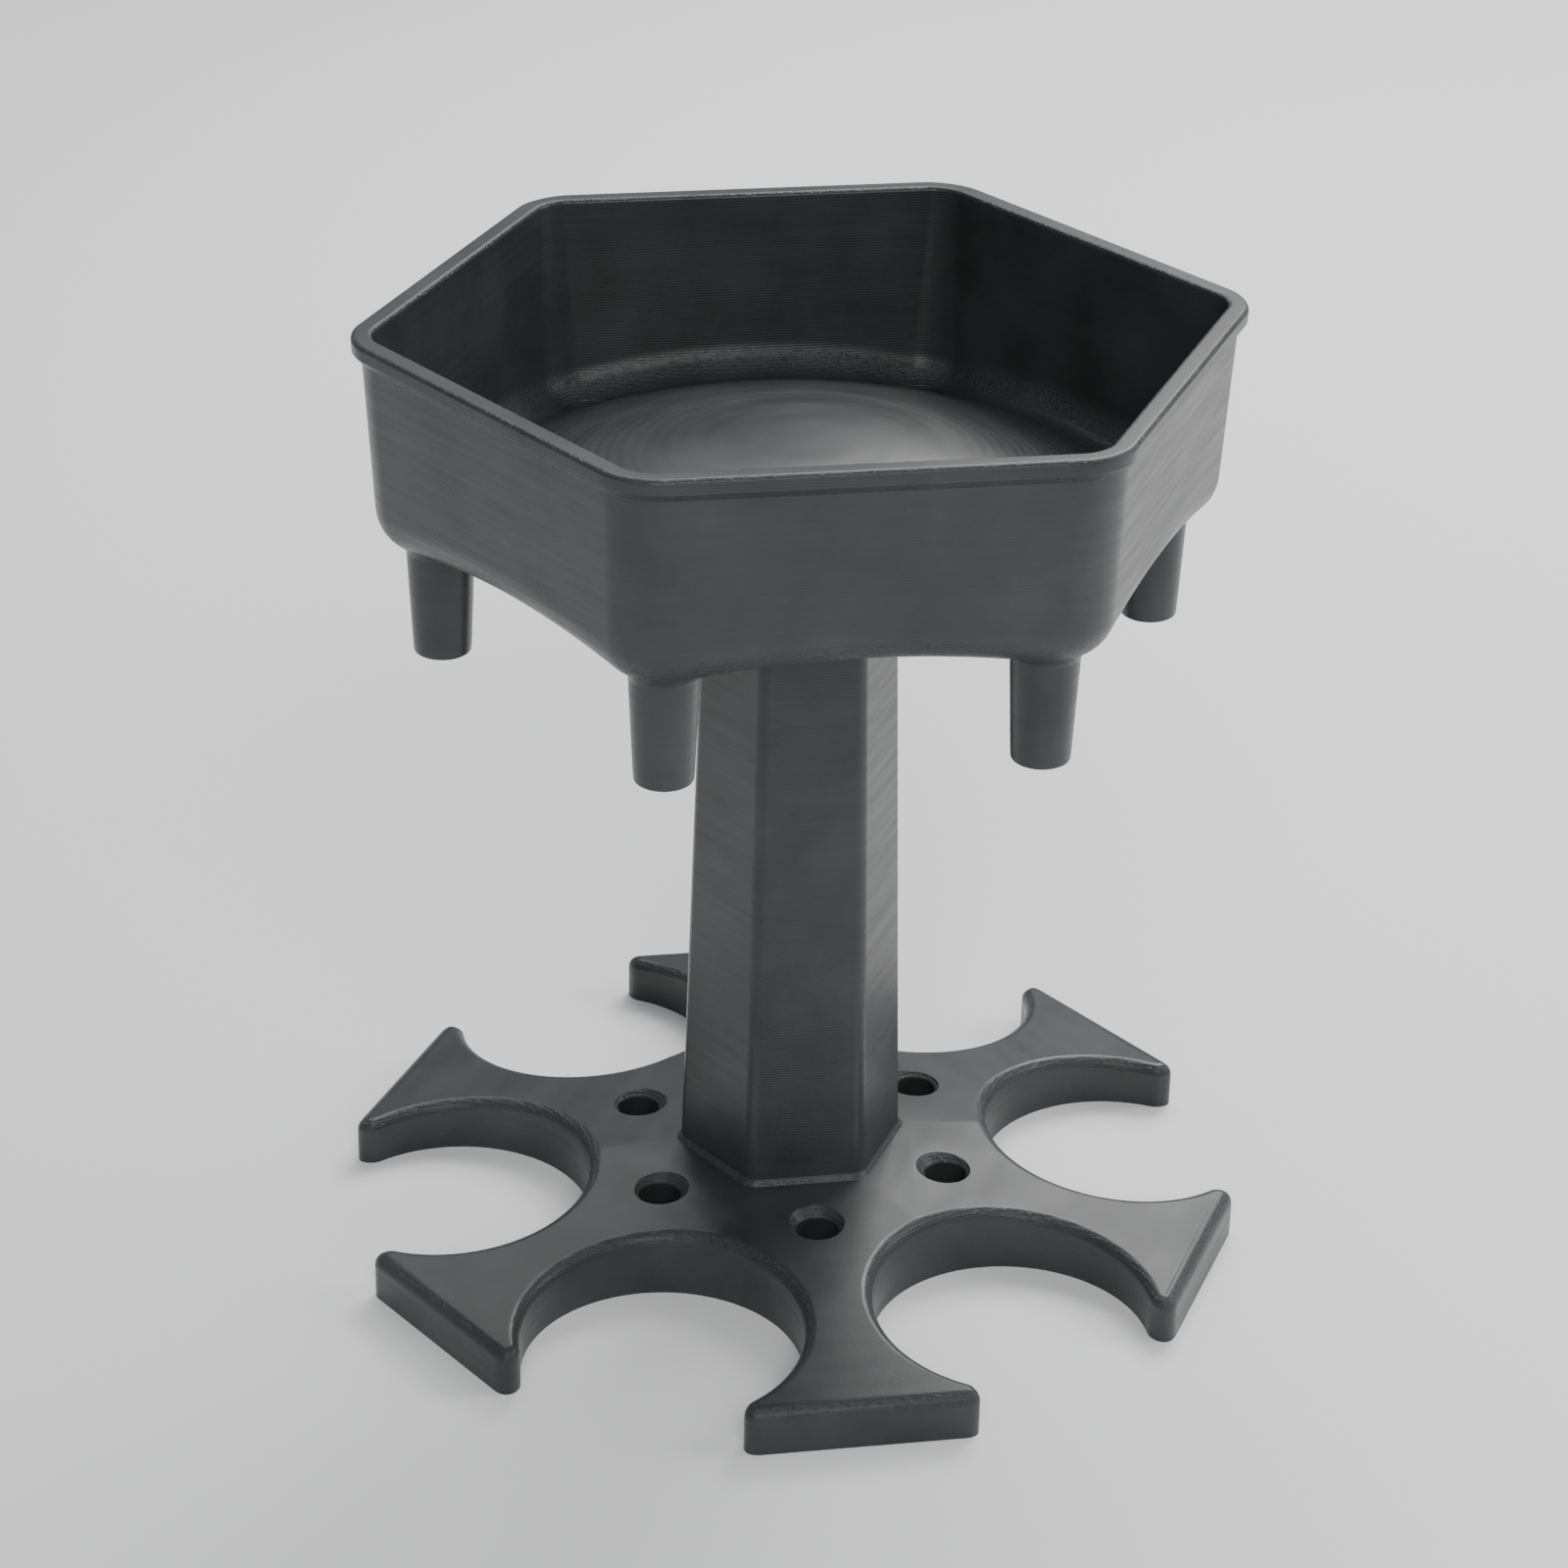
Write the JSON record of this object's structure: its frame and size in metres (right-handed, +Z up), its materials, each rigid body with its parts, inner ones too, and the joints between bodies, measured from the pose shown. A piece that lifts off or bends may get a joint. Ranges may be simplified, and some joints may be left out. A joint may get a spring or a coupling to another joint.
{
  "type": "shot dispenser",
  "caption": "Hexagonal pouring tray with corner nozzles on a tapered column, over a base whose scallops hold a shot glass under each nozzle.",
  "frame": {"origin": "middle of the flat underside of the base", "axes": "+Z up along the column; +X towards a tray corner, its nozzle and the glass place below it; +Y out along an arm of the base"},
  "size_m": [0.1608, 0.164, 0.178],
  "materials": {
    "charcoal_plastic": "satin, with fine horizontal layer lines"
  },
  "bodies": {
    "base": {"base_plate": "charcoal_plastic"},
    "column": {"column": "charcoal_plastic"},
    "tray": {"dispenser_tray": "charcoal_plastic"}
  },
  "joints": [
    {"name": "column_lift", "type": "slide", "parent": "base", "child": "column", "axis": [0, 0, 1], "range_m": [0, 0.03]},
    {"name": "tray_lift", "type": "slide", "parent": "column", "child": "tray", "axis": [0, 0, 1], "range_m": [0, 0.04]}
  ]
}
